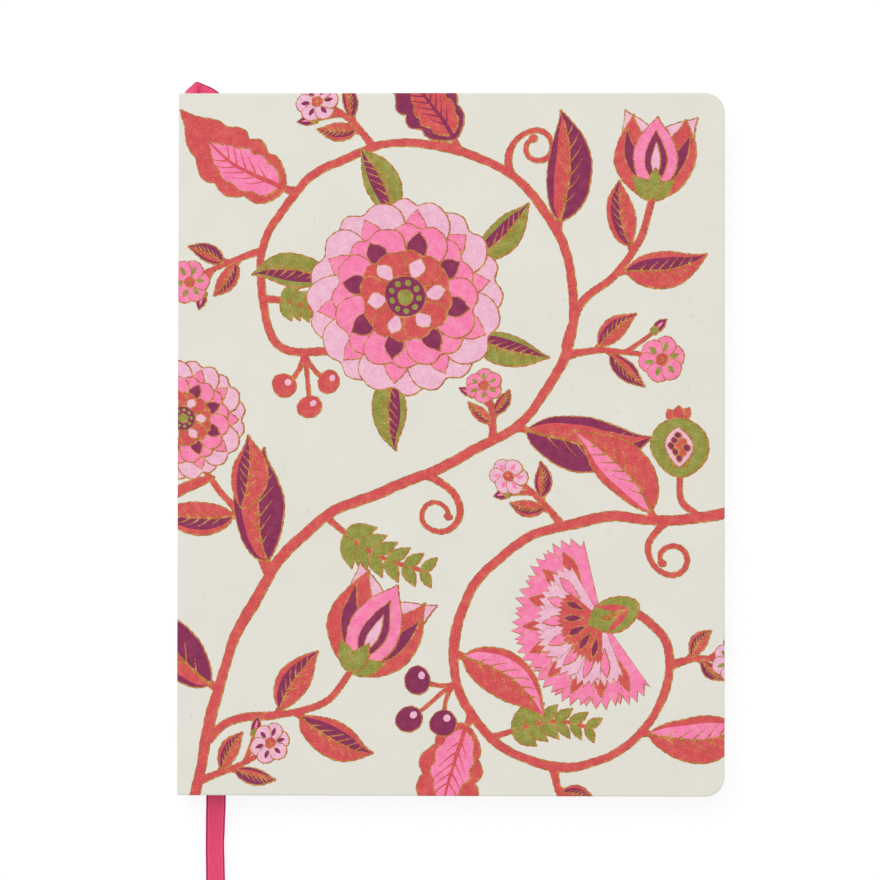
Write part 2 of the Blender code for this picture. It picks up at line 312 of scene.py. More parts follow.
def shade(colour, factor):
    return (*(channel * factor for channel in colour[:3]), 1)


def paper_material(name, colour, mottle, grain=0.00002):
    """Paper with a cloudy tone, fine fibres, a few darker specks and a faint tooth."""
    material, tree, shader, at = start_material(name, 0.8)
    clouds = noise(tree, at, 60, 4)
    tone = ramp(tree, clouds, (0.3, shade(colour, 1 - mottle)), (0.7, shade(colour, 1 + mottle / 2)))
    fibres = noise(tree, at, 1800, 4)
    flecks = ramp(tree, fibres, (0.25, shade(colour, 0.94)), (0.45, shade(colour, 1.0)))
    mixed = mix(tree, 0.45, tone, flecks)
    specks = ramp(tree, noise(tree, at, 420, 2), (0.7, WHITE), (0.75, shade(WHITE, 0.93)))
    specked = mix(tree, 1.0, mixed, specks, "MULTIPLY")
    tree.links.new(specked, shader.inputs["Base Color"])
    add_bump(tree, shader, fibres, grain)
    return material


def ink_material(name):
    """Ink that prints a little unevenly, with specks where it is thin and where it is deep."""
    material, tree, shader, at = start_material("ink_" + name, 0.7)
    colour, thin, deep = (srgb(*tone) for tone in INKS[name])
    grains = noise(tree, at, 1700, 4)
    clouds = noise(tree, at, 420, 3)
    specks = ramp(tree, grains, (0.38, deep), (0.45, colour), (0.55, colour), (0.62, thin))
    washed = ramp(tree, clouds, (0.34, deep), (0.5, colour), (0.66, thin))
    mixed = mix(tree, 0.42, specks, washed)
    tree.links.new(mixed, shader.inputs["Base Color"])
    add_bump(tree, shader, grains, 0.00002)
    return material


# Cover paper, and display colours of the inks on it: most of the ink, where it is thin and where it is deep
CREAM = srgb(229, 226, 215)
INKS = {
    "gold": ((184, 116, 50), (222, 176, 104), (146, 74, 42)),
    "coral": ((212, 80, 82), (222, 112, 96), (196, 64, 74)),
    "plum": ((136, 42, 84), (150, 60, 94), (118, 32, 76)),
    "pink": ((248, 130, 174), (250, 158, 190), (240, 112, 160)),
    "blush": ((238, 182, 205), (243, 204, 216), (232, 164, 194)),
    "olive": ((146, 146, 62), (172, 168, 96), (126, 124, 46)),
}


# Curves

def smooth_route(points, steps):
    """Points on a smooth curve through the route, spaced by the route's own distances."""
    rows = np.array(points, float)
    rows = np.vstack([2 * rows[0] - rows[1], rows, 2 * rows[-1] - rows[-2]])
    share = (np.arange(steps) / steps)[:, None]
    made = []
    for before, start, end, after in zip(rows, rows[1:], rows[2:], rows[3:]):
        lead, reach, trail = (np.linalg.norm(gap[:3]) for gap in (start - before, end - start, after - end))
        leave = (end - before) * reach / (reach + lead)
        arrive = (after - start) * reach / (reach + trail)
        bend = 3 * (end - start) - 2 * leave - arrive
        sway = 2 * (start - end) + leave + arrive
        made.append(start + share * (leave + share * (bend + share * sway)))
    return np.vstack([*made, rows[-2:-1]])


# Pieces

def link_mesh(name, points, faces, *materials):
    mesh = bpy.data.meshes.new(name)
    mesh.from_pydata([tuple(point) for point in points], [], [tuple(map(int, face)) for face in faces])
    mesh.update()
    for material in materials:
        mesh.materials.append(material)
    piece = bpy.data.objects.new(name, mesh)
    bpy.context.scene.collection.objects.link(piece)
    return piece


def tube_faces(rows, around):
    """Faces of a closed tube of that many rows of points."""
    faces = []
    for row in range(rows - 1):
        for place in range(around):
            beside = (place + 1) % around
            first, second = row * around, (row + 1) * around
            faces.append((first + place, first + beside, second + beside, second + place))
    last = (rows - 1) * around
    faces += [tuple(range(around - 1, -1, -1)), tuple(range(last, last + around))]
    return faces


def shifted(faces, start):
    """Faces whose points begin at that index."""
    return [tuple(index + start for index in face) for face in faces]


def finish_node(name, material):
    """Gives a piece of the frame a better material."""
    for slot in frame["nodes"][name].material_slots:
        slot.material = material


# Print

def anticlockwise(outline):
    area = (outline.real * np.roll(outline.imag, -1) - outline.imag * np.roll(outline.real, -1)).sum()
    return outline if area > 0 else outline[::-1]


def hand_drawn(outline):
    """Sways an outline a little, as a drawn line does."""
    sway = sum(size * np.exp(1j * (across * outline.real + up * outline.imag + start))
               for size, across, up, start in DRAWN)
    return outline + sway


def add(outline, ink, layer=FLOWERS):
    """Prints an area over what its layer holds."""
    PRINT[layer].append((hand_drawn(outline), ink))


def grown(outline, by):
    """The outline, moved outwards, with the uneven width of a drawn line."""
    ahead = np.roll(outline, -1) - outline
    ahead = ahead / np.maximum(abs(ahead), TINY)
    normal = -1j * (ahead + np.roll(ahead, 1))
    normal = normal / np.maximum(abs(normal), MITRE)
    wobble = 1 + UNEVEN * np.sin(UNEVEN_TURN * np.arange(len(outline)))
    return outline + by * wobble * normal


def rimmed(outline, ink, rim=RIM):
    """An area of ink with a gold line round it."""
    turned = anticlockwise(outline)
    add(grown(turned, rim) + REGISTER, "gold")
    add(turned, ink)


def span(start, end):
    """Evenly spaced points along the real axis."""
    return np.linspace(start, end, 4 + round(abs(end - start) / STEP)) + 0j


def almond(length, width, fullest=1.0, blunt=1.0, tip=1.0):
    """A petal along the real axis from its base at 0.

    Fullest above 1 moves its widest place on, blunt below 1 rounds its base, tip above 1 draws its point out.
    """
    share = (1 - np.cos(np.linspace(0, np.pi, 9 + round(length / STEP)))) / 2
    power = blunt + (tip - blunt) * share ** 2
    half = width / 2 * np.abs(np.sin(np.pi * share ** fullest)) ** power
    lower = length * share - 1j * half
    return np.concatenate([lower, np.conj(lower[-2:0:-1])])


def circle(radius):
    steps = 8 + round(4 * radius / STEP)
    return radius * np.exp(2j * np.pi * np.arange(steps) / steps)


def bent(shape, turn, length):
    """Bends a shape that lies along the real axis, by that turn in degrees over the length."""
    heading = math.radians(turn) * shape.real / length
    middle = length / math.radians(turn) * (np.exp(1j * heading) - 1) / 1j
    return middle + 1j * shape.imag * np.exp(1j * heading)


def laid(shape, at, heading):
    return at + shape * np.exp(1j * np.radians(heading))


def swept(shape, turn, length, at, heading):
    """Bends a shape over its length and lays it at a place, along a heading."""
    return laid(bent(shape, turn, length), at, heading)


def ahead_of(at, heading, distance):
    return laid(distance, at, heading)


def stroke(path, start_width, end_width, flare=0):
    """Outline of a line along a path, with a taper, and with a flare at its foot, or a point below zero."""
    way = np.gradient(path)
    normal = 1j * way / np.maximum(abs(way), TINY)
    travel = np.concatenate([[0], np.cumsum(abs(np.diff(path)))])
    half = np.linspace(start_width, end_width, len(path)) / 2
    half = half + flare * start_width * np.exp(-travel / start_width)
    return np.concatenate([path - normal * half, (path + normal * half)[::-1]])


def branch(path, start_width, end_width, flare=FLARE):
    """A coral branch. Branches lie under the flowers and run into each other."""
    outline = anticlockwise(stroke(path, start_width, end_width, flare))
    add(grown(outline, FINE_RIM) + REGISTER, "gold", LINES)
    add(outline, "coral", BRANCHES)


def stem(points, start_width, end_width):
    """A branch through given points, and its path."""
    path = smooth_route(points, STEM_STEPS) @ np.array([1, 1j])
    branch(path, start_width, end_width, POINTED)
    return path


def off(path, share, turn):
    """A place along a path, and a heading turned from it by degrees."""
    index = min(int(share * (len(path) - 1)), len(path) - 2)
    heading = np.degrees(np.angle(path[index + 1] - path[index]))
    return path[index], heading + turn


def veins(shares, reaches, turn, length, at, heading, ink="gold"):
    """Pairs of thin curved lines from the midrib of a leaf."""
    run = np.linspace(0, 1, 7)
    for share, reach in zip(shares, reaches):
        for hand in (-1, 1):
            vein = share * length + reach * (0.9 * run + 0.4 * run ** 2 + 1j * hand * run)
            add(swept(stroke(vein, 0.6, 0.15), turn, length, at, heading), ink)


def stalk(at, heading, length):
    """A short stalk, and the place of its end."""
    end = ahead_of(at, heading, STALK * length)
    branch(np.linspace(at, ahead_of(end, heading, STALK * length), 8), 1.7, 1.1)
    return end


def leaf(at, heading, length, turn, blade, half):
    """A smooth leaf with one half in a second ink, a midrib and side veins."""
    lie = (turn, length, stalk(at, heading, length), heading)
    edge = almond(length, 0.42 * length, 0.85, 0.75, 1.35)
    rimmed(swept(edge, *lie), blade)
    side = edge[len(edge) // 2 + 1:]
    inner = np.concatenate([side.real + 0.7j * side.imag, span(0.02 * length, 0.86 * length)])
    add(swept(inner, *lie), half)
    rib = stroke(span(-0.02 * length, 0.9 * length), 0.025 * length, 0.2)
    add(swept(rib, *lie), "gold")
    shares = np.arange(0.16, 0.78, 0.12)
    reaches = 0.12 * length * np.sin(np.pi * shares ** 0.85)
    veins(shares, reaches, *lie)


def lobed_leaf(at, heading, length, turn=-35, blade="coral", heart="pink"):
    """A leaf with round lobes, a smaller leaf of another ink inside it, and veins."""
    lie = (turn, length, stalk(at, heading, length), heading)
    for scale, ink in ((1.0, blade), (0.64, heart)):
        edge = almond(length * scale, 0.42 * length * scale, 0.8, 0.65, 1.2)
        lobes = 1 + 0.24 * np.abs(np.sin(4.5 * np.pi * edge.real / (length * scale)))
        shape = edge.real + 1j * edge.imag * lobes + 0.13 * length * (1 - scale)
        rimmed(swept(shape, *lie), ink)
    rib = stroke(span(0, 0.86 * length), 0.04 * length, 0.3)
    add(swept(rib, *lie), blade)
    shares = np.arange(0.14, 0.54, 0.08)
    reaches = 0.13 * length * np.sin(np.pi * (shares + 0.1))
    veins(shares, reaches, *lie, blade)


def heart_petal(length, width):
    """A broad petal with a shallow notch in its tip."""
    shape = almond(length, width, 2.1, 0.6, 0.6)
    notch = 1 - 0.1 * np.exp(-((shape.imag / (0.16 * width)) ** 2))
    return shape.real * notch + 1j * shape.imag


def rosette(at, heading, radius):
    """A full round flower in three rings of notched petals, with a ring of dots in its eye."""
    rings = (
        (10, 1.0, 0.68, "blush", "pink"),
        (8, 0.74, 0.58, "pink", "plum"),
        (6, 0.46, 0.46, "coral", "blush"),
    )
    for ring, (count, reach, breadth, ink, mark) in enumerate(rings):
        for petal in range(count):
            way = heading + 360 * (petal + 0.5 * (ring % 2)) / count
            rimmed(laid(heart_petal(reach * radius, breadth * radius), at, way), ink)
            start = ahead_of(at, way, 0.4 * reach * radius)
            flame = almond(0.46 * reach * radius, 0.32 * breadth * radius, 1.3, 0.9, 1.4)
            rimmed(laid(flame, start, way), mark, FINE_RIM)
    rimmed(at + circle(0.2 * radius), "plum")
    for dot in range(9):
        add(ahead_of(at, 40 * dot, 0.14 * radius) + circle(0.03 * radius), "olive")
    rimmed(at + circle(0.07 * radius), "olive", FINE_RIM)


def tulip(at, heading, size):
    """A cup of petals over a small green calyx."""
    for side in (-1, 1):
        back = bent(almond(1.05 * size, 0.46 * size, 1.0, 0.8, 1.3), 25 * side, size)
        rimmed(laid(back, at, heading + 12 * side), "blush")
    for side in (-1, 1):
        outer = almond(1.0 * size, 0.46 * size, 0.75, 0.7, 1.4)
        rimmed(swept(outer, -50 * side, size, at, heading + 44 * side), "coral")
        start = ahead_of(at, heading + 44 * side, 0.14 * size)
        flame = almond(0.7 * size, 0.15 * size, 0.8, 0.9, 1.4)
        rimmed(swept(flame, -45 * side, size, start, heading + 40 * side), "plum", FINE_RIM)
    rimmed(laid(almond(0.92 * size, 0.52 * size, 0.85, 0.7, 1.35), at, heading), "pink")
    for reach, breadth, start, ink in ((0.62, 0.26, 0.12, "plum"), (0.38, 0.1, 0.2, "blush")):
        flame = almond(reach * size, breadth * size, 0.8, 0.9, 1.4)
        rimmed(laid(flame, ahead_of(at, heading, start * size), heading), ink, FINE_RIM)
    foot = ahead_of(at, heading, -0.06 * size)
    for turn in (-48, 48, 0):
        sepal = almond(0.34 * size, 0.17 * size, 0.8, 0.7, 1.4)
        rimmed(laid(sepal, foot, heading + turn), "olive", FINE_RIM)


def fringed_petal(length, width):
    """A wedge with a toothed end."""
    across = np.linspace(-0.5, 0.5, 11)
    teeth = np.where(np.arange(11) % 2 == 0, 1.0, 0.9)
    tips = length * teeth * (1 - 0.5 * across ** 2) + 1j * width * across
    return np.concatenate([[0], tips])


def fan(at, heading, size):
    """A flower like an open fan, in three rows of toothed petals on a green cup."""
    rows = (
        (9, 1.0, 170, "pink", "coral"),
        (7, 0.76, 140, "blush", "pink"),
        (5, 0.5, 100, "coral", "plum"),
    )
    for count, reach, spread, ink, mark in rows:
        middle = (count - 1) / 2
        for petal in sorted(range(count), key=lambda place: -abs(place - middle)):
            way = heading + spread * (petal / (count - 1) - 0.5)
            rimmed(laid(fringed_petal(reach * size, 0.5 * reach * size), at, way), ink)
            flame = almond(0.45 * reach * size, 0.13 * reach * size, 1.3, 1.0, 1.3)
            rimmed(laid(flame, ahead_of(at, way, 0.42 * reach * size), way), mark, FINE_RIM)
    cup = almond(0.6 * size, 0.36 * size, 0.9, 0.6, 1.1)
    rimmed(laid(cup, ahead_of(at, heading, -0.42 * size), heading), "olive")
    for turn in (-26, 0, 26):
        rib = almond(0.36 * size, 0.07 * size, 0.9)
        add(laid(rib, ahead_of(at, heading, -0.32 * size), heading + turn), "coral" if turn else "gold")


def pomegranate(at, heading, size):
    """A round fruit with a crown, open at the front to show its seeds."""
    crown = ahead_of(at, heading, 0.84 * size)
    for turn in (-34, 34, 0):
        sepal = almond(0.62 * size, 0.34 * size, 1.2, 0.8, 1.3)
        rimmed(laid(sepal, crown, heading + turn), "coral", FINE_RIM)
    foot = ahead_of(at, heading, -size)
    rimmed(laid(almond(2 * size, 1.9 * size, 1.0, 0.5, 0.55), foot, heading), "olive")
    for turn in (-62, -40, 40, 62):
        rib = swept(span(0.35 * size, 1.55 * size), -1.6 * turn, 1.9 * size, foot, heading + 0.8 * turn)
        add(stroke(rib, 0.4, 0.2), "gold")
    opening = almond(1.36 * size, 0.9 * size, 1.0, 0.8, 0.9)
    rimmed(laid(opening, ahead_of(at, heading, -0.68 * size), heading), "blush")
    for row, count in ((-0.4, 1), (-0.2, 2), (0.0, 3), (0.2, 2), (0.4, 1)):
        for seed in range(count):
            spot = laid(size * (row + 0.26j * (seed - (count - 1) / 2)), at, heading)
            rimmed(spot + circle(0.1 * size), "plum" if (seed + count) % 2 else "coral", FINE_RIM)


def blossom(at, heading, radius, ink, eye):
    """A small flower of six round petals."""
    for petal in range(6):
        way = heading + 60 * petal
        rimmed(laid(almond(radius, 0.86 * radius, 1.6, 0.5, 0.6), at, way), ink, FINE_RIM)
        add(laid(almond(0.46 * radius, 0.22 * radius), ahead_of(at, way, 0.34 * radius), way), eye)
    rimmed(at + circle(0.24 * radius), "coral", FINE_RIM)
    add(at + circle(0.1 * radius), "gold")


def bud(at, heading, size):
    """A closed bud with a green cap."""
    rimmed(laid(almond(size, 0.5 * size, 0.9, 0.8, 1.3), at, heading), "plum", FINE_RIM)
    flame = almond(0.56 * size, 0.14 * size, 0.9)
    add(laid(flame, ahead_of(at, heading, 0.24 * size), heading), "pink")
    cap = almond(0.42 * size, 0.42 * size, 0.8, 0.6, 1.1)
    rimmed(laid(cap, ahead_of(at, heading, -0.06 * size), heading), "olive", FINE_RIM)


def sprig(at, heading, length, turn, flower=7.0, ink="pink", eye="olive"):
    """A thin twig with a blossom at its end, and two leaves and a bud beside it."""
    path = swept(span(0, length), turn, length, at, heading)
    branch(path, 1.7, 1.0)
    leaf(*off(path, 0.35, 58), 0.5 * length, -30, "coral", "plum")
    leaf(*off(path, 0.5, -58), 0.46 * length, 30, "plum", "coral")
    fork, way = off(path, 0.66, 46)
    twig = ahead_of(fork, way, 0.32 * span(0, length))
    branch(twig, 1.1, 0.8)
    bud(twig[-1], way, 0.9 * flower)
    blossom(path[-1], heading, flower, ink, eye)


def berries(at, heading, size, ink="plum"):
    """Three berries on forked stalks."""
    run = np.linspace(0, 1, 12)
    for turn, reach in ((-38, 0.8), (34, 0.85), (0, 1.15)):
        path = ahead_of(at, heading + turn * run ** 0.5, reach * size * run)
        branch(path, 1.0, 0.8)
        rimmed(path[-1] + circle(0.24 * size), ink, FINE_RIM)
        add(path[-1] + 0.08 * size * (1 + 1j) + circle(0.07 * size), "blush")


def spray(at, heading, length, turn):
    """A thin stalk with pairs of small leaves."""
    lie = (turn, length, at, heading)
    branch(swept(span(0, length), *lie), 1.4, 0.7)
    for share in np.arange(0.24, 1.0, 0.15):
        size = 0.3 * length * (1.15 - 0.6 * share)
        for hand in (-1, 1):
            leaflet = laid(almond(size, 0.46 * size, 0.8, 0.8, 1.3), share * length, 48 * hand)
            rimmed(swept(leaflet, *lie), "olive", FINE_RIM)


def tendril(at, heading, length, turns):
    """A thin line that curls up round a bead at its end."""
    share = np.linspace(0, 1, 60)
    way = math.radians(heading) + 2 * math.pi * turns * share ** 1.7
    path = at + np.cumsum(np.exp(1j * way)) * length / len(share)
    branch(path, 1.6, 0.9)
    rimmed(path[-1] + circle(1.1), "coral", FINE_RIM)


def draw_print():
    """Lays out one repeat: two scrolling branches round a rosette and a fan, with smaller flowers between."""
    first = stem(((2, -130), (10, -94), (20, -60), (44, -27), (84, -8), (116, 12), (129, 48), (114, 83),
                  (77, 98), (43, 87), (27, 60), (33, 32), (56, 30)), 3.0, 1.8)
    second = stem(((206, -10), (172, -24), (138, -24), (107, -35), (90, -62), (98, -91), (126, -105),
                   (153, -91), (159, -66), (146, -53), (136, -57)), 2.9, 1.8)
    low = stem(((8.6, -99), (17, -90), (33, -88), (49, -83), (57, -74)), 2.1, 1.6)
    high = stem(((124.5, 31), (132, 46), (143, 56), (151, 67), (154, 82)), 2.1, 1.6)
    side = stem(((29, -44), (25, -31), (14, -16), (4, -2)), 2.0, 1.5)
    fruit = stem(((170, -24), (164, -19), (163, -10)), 2.0, 1.6)
    tendril(*off(first, 0.33, -50), 52, -1.2)
    tendril(*off(second, 0.14, 50), 46, 1.2)
    tendril(*off(first, 0.6, -50), 44, -1.2)
    spray(*off(first, 0.26, -75), 36, 30)
    spray(*off(second, 0.52, 65), 32, -40)
    spray(*off(first, 0.87, 80), 26, -30)
    sprig(*off(first, 0.05, -66), 27, 30, 6.5, "blush", "plum")
    sprig(*off(first, 0.38, 58), 18, 24, 5.5)
    sprig(*off(first, 0.46, -58), 32, -30)
    sprig(*off(first, 0.7, -70), 24, 30, 6.5, "blush", "plum")
    sprig(*off(first, 0.83, -70), 26, 30)
    sprig(*off(second, 0.24, -75), 24, 35, 6.0, "blush", "pink")
    sprig(*off(second, 0.585, -70), 24, 40, 6.5)
    sprig(*off(second, 0.78, -70), 22, -30, 7.0, "blush", "olive")
    leaves = (
        (first, "plum", "coral", (0.12, 70, 36, -40), (0.21, 52, 38, -30), (0.4, -62, 42, 40),
         (0.55, -45, 36, 35)),
        (second, "coral", "pink", (0.15, -60, 36, 40), (0.42, 70, 34, -40), (0.69, -60, 34, 45)),
        (low, "coral", "plum", (0.6, -62, 26, 40), (0.5, 62, 22, -35)),
        (high, "coral", "plum", (0.5, -52, 27, 35), (0.66, 62, 22, -35)),
        (side, "coral", "plum", (0.5, -62, 25, 40), (0.5, 62, 25, -40)),
    )
    for path, blade, half, *places in leaves:
        for share, turn, length, bend in places:
            leaf(*off(path, share, turn), length, bend, blade, half)
    lobed_leaf(*off(first, 0.77, -70), 42)
    lobed_leaf(*off(first, 0.64, -50), 37, 35, "plum", "coral")
    lobed_leaf(*off(second, 0.49, -62), 40, 40)
    berries(*off(second, 0.45, -70), 17)
    berries(*off(first, 0.95, -80), 15, "coral")
    bloom = 74 + 48j
    for heading in (-100, -30, 30, 100, 165):
        leaf(ahead_of(bloom, heading, 24), heading, 25, 30, "olive", "plum")
    rosette(bloom, 10, 33)
    fan(138 - 57j, 205, 29)
    tulip(58 - 72j, 62, 32)
    tulip(154 + 82j, 84, 27)
    pomegranate(fruit[-1] + 9j, 90, 9.5)
    rosette(2 + 8j, 0, 20)


# Cover paper

class CoverSheet:
    """Flat paper of one cover: real from the spine edge, imaginary up the page. It folds round the board."""

    def __init__(self, outer_z, inwards):
        self.outer_z = outer_z
        self.inwards = inwards
        self.wall = COVER_DEPTH - SKIN - 2 * FOLD_RADIUS
        self.turned = 2 * ARC + self.wall

    def from_print(self, outline):
        """Moves a print outline from the whole sheet to this cover."""
        if self.inwards < 0:
            return outline
        return 2 * HINGE_S - SPINE_HEIGHT - np.conj(outline)

    def edges(self, flat):
        """Nearest place on the flat part's edge, the way off it and the distance past it.

        Also whether a place is past the spine edge, and whether it is between head and tail.
        """
        radius = np.where(flat.real > WIDTH / 2, FLAT_RADIUS, 0)
        foot = np.clip(flat.real, FLAT_START, FLAT_END - radius)
        foot = foot + 1j * np.clip(flat.imag, radius - FLAT_HALF, FLAT_HALF - radius)
        away = flat - foot
        way = away / np.maximum(abs(away), TINY)
        at_spine = flat.real < FLAT_START
        on_page = abs(flat.imag) <= FLAT_HALF
        return foot + way * radius, way, abs(away) - radius, at_spine, on_page

    def folds(self):
        """Lines of the flat paper along which it bends."""
        quarter = np.exp(0.5j * np.pi * np.arange(9) / 8)
        lines = []
        for run in runs_past(self.wall):
            square = run * quarter
            rounded = (FLAT_RADIUS + run) * quarter
            corner = FLAT_END - FLAT_RADIUS + 1j * (FLAT_HALF - FLAT_RADIUS)
            tail = FLAT_START - 1j * FLAT_HALF
            lines.append(np.concatenate([
                tail - square, np.conj(corner) - 1j * rounded, corner + rounded, np.conj(tail) + 1j * square,
            ]))
        for run in [*FOLD_RUNS, ARC + HINGE_WALL]:
            lines.append(FLAT_START - run + 1j * FLAT_HALF * np.array([-1, 1]))
        for hand in (-1, 1):
            lines.append(FLAT_START + 1j * hand * FLAT_HALF - np.array([0, ARC + HINGE_WALL]))
        return lines

    def kept(self, flat):
        _, _, run, at_spine, on_page = self.edges(flat)
        limit = np.where(at_spine, self.turned, self.turned + TURN_IN)
        return run < np.where(at_spine & on_page, ARC + HINGE_WALL, limit)

    def placed(self, flat, lift):
        """Points of the folded paper, with the lift out from its surface."""
        base, way, run, at_spine, on_page = self.edges(flat)
        hinge = at_spine & on_page
        run = np.maximum(run, 0)
        wall = np.where(hinge, HINGE_WALL, self.wall)
        out, depth = folded(run, wall, ~hinge, lift)
        spot = np.where(run > 0, base + way * out, flat)
        z = self.outer_z + self.inwards * (SKIN + depth)
        return np.column_stack([SPINE_X + spot.real, spot.imag, z])


class SpineSheet:
    """Flat paper of the spine: real down from the front hinge, imaginary up the page."""

    inwards = 1

    def __init__(self):
        self.wall = SPINE_DEPTH - 2 * FOLD_RADIUS
        self.end = FLAT_HALF + 2 * ARC + self.wall + TURN_IN

    def from_print(self, outline):
        return HINGE_S - np.conj(outline)

    def folds(self):
        across = np.array([0, SPINE_HEIGHT])
        runs = runs_past(self.wall)
        lines = [across + 1j * hand * (FLAT_HALF + run) for run in runs for hand in (-1, 1)]
        return lines + [down + 1j * self.end * np.array([-1, 1]) for down in across]

    def kept(self, flat):
        return (flat.real > 0) & (flat.real < SPINE_HEIGHT) & (abs(flat.imag) < self.end)

    def placed(self, flat, lift):
        run = np.maximum(abs(flat.imag) - FLAT_HALF, 0)
        out, depth = folded(run, self.wall, np.ones(len(flat), bool), lift)
        y = np.where(run > 0, np.sign(flat.imag) * (FLAT_HALF + out), flat.imag)
        return np.column_stack([SPINE_X + depth, y, FRONT_HINGE_Z - flat.real])


def runs_past(wall):
    """Runs past an edge at which the paper bends, in two folds with a wall between, and where it ends."""
    return [*FOLD_RUNS, *(ARC + wall + FOLD_RUNS), 2 * ARC + wall + TURN_IN]


def folded(run, wall, turns_in, lift):
    """How far out and how deep paper lies after a run past an edge: a fold, a wall, a fold and a turn-in."""
    first = np.clip(run, 0, ARC) / FOLD_RADIUS
    down = np.clip(run - ARC, 0, wall)
    past = np.maximum(run - ARC - wall, 0) * turns_in
    second = np.clip(past, 0, ARC) / FOLD_RADIUS
    inwards = np.maximum(past - ARC, 0)
    tilt = first + second
    out = FOLD_RADIUS * (np.sin(first) - 1 + np.cos(second)) - inwards + lift * np.sin(tilt)
    depth = FOLD_RADIUS * (1 - np.cos(first) + np.sin(second)) + down - lift * np.cos(tilt)
    return out, depth


def triangles_of(sheet, outlines):
    """Triangles of a flat sheet, split along its folds and the outlines, and the topmost outline on each."""
    points, edges = [], []
    for line in sheet.folds() + [np.append(outline, outline[0]) for outline in outlines]:
        edges += [(index, index + 1) for index in range(len(points), len(points) + len(line) - 1)]
        points += [Vector((place.real, place.imag)) for place in line]
    made = delaunay_2d_cdt(points, edges, [], 0, TINY)
    places = np.array([complex(*place) for place in made[0]])
    triangles = np.array(made[2])
    triangles = triangles[sheet.kept(places[triangles].mean(axis=1))]
    owners = topmost(outlines, places[triangles].mean(axis=1))
    return places, triangles if sheet.inwards < 0 else triangles[:, ::-1], owners


def topmost(outlines, spots):
    """The last outline that goes round each spot, or -1, from the edges that pass it on one side."""
    order = np.argsort(spots.imag)
    spots = spots[order]
    owners = np.full(len(spots), -1)
    for index, outline in enumerate(outlines):
        rounds = np.zeros(len(spots), int)
        ranks = np.searchsorted(spots.imag, outline.imag)
        for start, end, low, high in zip(outline, np.roll(outline, -1), ranks, np.roll(ranks, -1)):
            passed = slice(min(low, high), max(low, high))
            way = np.sign(high - low)
            rounds[passed] += way * (((spots[passed] - start) * np.conj(end - start)).imag * way > 0)
        owners[order[rounds != 0]] = index
    return owners


def film(name, sheet, places, triangles, lift, material):
    """A piece from some triangles of a flat sheet, folded into place."""
    used, faces = np.unique(triangles, return_inverse=True)
    return link_mesh(name, sheet.placed(places[used], lift), faces.reshape(-1, 3), material)


def make_wrap(side, sheet, body, paper):
    """The cover paper on one side."""
    places, triangles, _ = triangles_of(sheet, [])
    wrap = film(f"{side}_cover_paper", sheet, places, triangles, 0, paper)
    solid = wrap.modifiers.new("thickness", "SOLIDIFY")
    solid.thickness = PAPER
    solid.offset = -1
    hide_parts(f"{side}_wrap")
    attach(wrap, body)


def make_inks(side, sheet, body, inks):
    """The areas of ink on one side, from the repeats that reach it."""
    outlines, colours = [], []
    for shift in (0, -REPEAT):
        for outline, ink in sum(PRINT, []):
            moved = sheet.from_print((outline + shift) * MM)
            if sheet.kept(moved).any():
                outlines.append(anticlockwise(moved))
                colours.append(ink)
    places, triangles, owners = triangles_of(sheet, outlines)
    names = np.array([*colours, ""])[owners]
    for ink, material in inks.items():
        if (names == ink).any():
            layer = film(f"{side}_print_{ink}", sheet, places, triangles[names == ink], INK, material)
            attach(layer, body)


def make_covers():
    """The cover paper with its print on the front, the back and the spine."""
    draw_print()
    paper = paper_material("cover_paper", CREAM, 0.045)
    inks = {name: ink_material(name) for name in INKS}
    sides = (
        ("front", CoverSheet(TOP, -1), "front_cover"),
        ("back", CoverSheet(0, 1), "back_cover"),
        ("spine", SpineSheet(), STILL_BODY),
    )
    for side, sheet, body in sides:
        make_wrap(side, sheet, body, paper)
        make_inks(side, sheet, body, inks)


# Leaves and endpapers

def leaf_columns(start_x, fore_x, half):
    """Places across a leaf from the spine to the fore edge, and half its height at each."""
    bend = start_x + LEAF_BEND * np.linspace(0, 1, BEND_COLUMNS)
    corner = fore_x - LEAF_RADIUS * (1 - np.sin(np.linspace(0, math.pi / 2, CORNER_COLUMNS)))
    across = np.concatenate([bend, corner])
    past = np.maximum(across - fore_x + LEAF_RADIUS, 0)
    return across, half - LEAF_RADIUS + np.sqrt(np.maximum(LEAF_RADIUS ** 2 - past ** 2, 0))


def trimmed_columns(start_x):
    """Columns of a leaf that is cut a hair differently from the next one."""
    fore_x = LEAF_FORE_X - TRIM * random.random()
    half = LEAF_HALF_HEIGHT - TRIM * random.random()
    return leaf_columns(start_x, fore_x, half)


def sheet_faces(middles, normals, halves, thickness):
    """Points and faces of one sheet, from its middle line in x and z, its normals and half its heights."""
    outer = middles + normals * thickness / 2
    inner = middles - normals * thickness / 2
    points = []
    for (outer_x, outer_z), (inner_x, inner_z), half in zip(outer, inner, halves):
        points += [(outer_x, half, outer_z), (outer_x, -half, outer_z)]
        points += [(inner_x, -half, inner_z), (inner_x, half, inner_z)]
    return points, tube_faces(len(halves), 4)


def folded_sheet(fold_x, middle_z, radius):
    """Points and faces of two leaves joined by a round fold."""
    upper, upper_halves = trimmed_columns(fold_x)
    lower, lower_halves = trimmed_columns(fold_x)
    fold = np.linspace(0.5, 1.5, FOLD_COLUMNS + 2)[1:-1] * math.pi
    turn = np.concatenate([np.full(len(upper), math.pi / 2), fold, np.full(len(lower), 1.5 * math.pi)])
    normals = np.column_stack([np.cos(turn), np.sin(turn)])
    base_x = np.concatenate([upper[::-1], np.full(FOLD_COLUMNS, fold_x), lower])
    middles = np.column_stack([base_x, np.full(len(turn), middle_z)]) + radius * normals
    halves = np.concatenate([upper_halves[::-1], np.full(FOLD_COLUMNS, upper_halves[0]), lower_halves])
    return sheet_faces(middles, normals, halves, LEAF)


